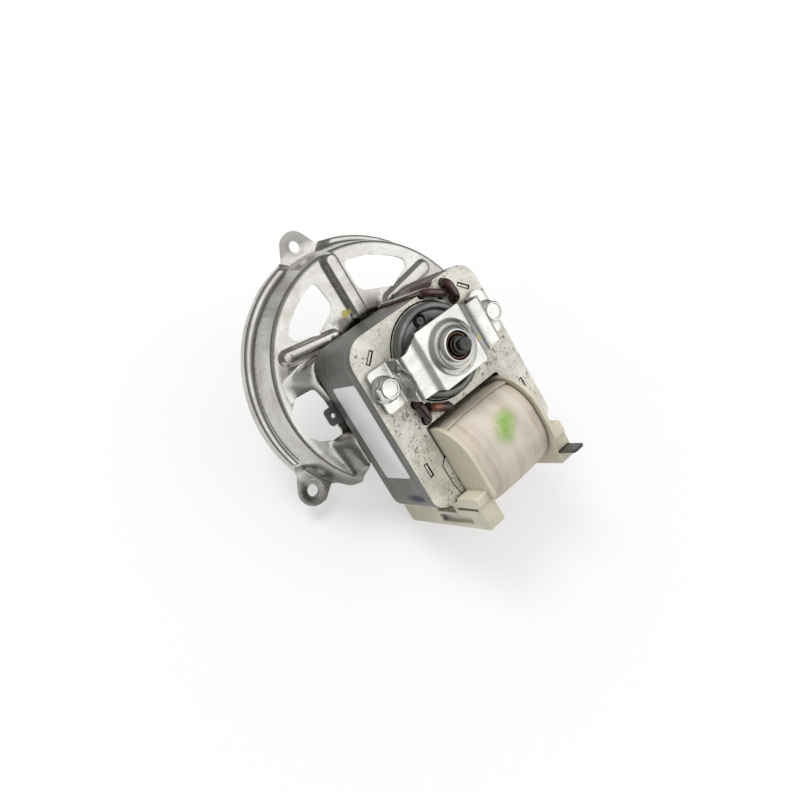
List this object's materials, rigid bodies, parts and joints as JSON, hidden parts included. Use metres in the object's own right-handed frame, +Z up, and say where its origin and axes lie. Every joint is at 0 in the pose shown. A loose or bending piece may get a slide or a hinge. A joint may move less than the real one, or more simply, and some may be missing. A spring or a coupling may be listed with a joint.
{
  "type": "oven fan motor",
  "caption": "Shaded-pole fan motor on a round pressed mounting plate, with a side-wound coil, a domed rear bearing bridge and a long threaded shaft.",
  "frame": {"origin": "on the shaft's axis, in the plane where the plate's three ears meet the oven's rear wall", "axes": "+Y along the shaft into the oven, -Y towards the rear bearing, +Z up through the top ear and away from the coil, +X to the right when seen from the rear"},
  "size_m": [0.1, 0.0962, 0.1125],
  "materials": {
    "plate_steel": "bright rolled sheet, lightly tarnished",
    "lamination": "bare electrical sheet, dull",
    "zinc_steel": "zinc plated, bright",
    "bobbin_plastic": "cream moulding",
    "coil_tape": "pinkish beige tape",
    "copper_wire": "enamelled copper",
    "shading_copper": "dark red-brown varnish on copper bar",
    "sintered_bronze": "oiled sintered bronze",
    "die_cast": "die cast, grey",
    "shaft_steel": "ground, oiled",
    "tab_steel": "tinned steel, dark",
    "felt": "oiled felt",
    "fibre": "pressed fibre"
  },
  "bodies": {
    "frame": {"mounting_plate": "plate_steel", "stator_core": "lamination", "coil_core": "lamination", "coil_bobbin": "bobbin_plastic", "coil_wrap": "coil_tape", "coil_winding": "copper_wire", "supply_tab_right": "tab_steel", "supply_tab_left": "tab_steel", "earth_tab": "tab_steel", "shading_ring_upper_inner": "shading_copper", "shading_ring_upper_outer": "shading_copper", "shading_ring_lower_inner": "shading_copper", "shading_ring_lower_outer": "shading_copper", "rear_bridge": "zinc_steel", "rear_bearing": "sintered_bronze", "front_bearing": "sintered_bronze", "rear_bearing_retainer": "zinc_steel", "front_bearing_retainer": "zinc_steel", "rear_felt_ring": "felt", "front_felt_ring": "felt", "fixing_screw_left": "zinc_steel", "fixing_screw_right": "zinc_steel"},
    "rotor": {"shaft": "shaft_steel", "rotor_core": "lamination", "rotor_cage": "die_cast", "rear_thrust_washer": "fibre", "front_thrust_washer": "fibre"}
  },
  "joints": [
    {"name": "rotor_spin", "type": "hinge", "parent": "frame", "child": "rotor", "pos_m": [0, -0.0362, 0], "axis": [0, 1, 0], "continuous": true}
  ]
}
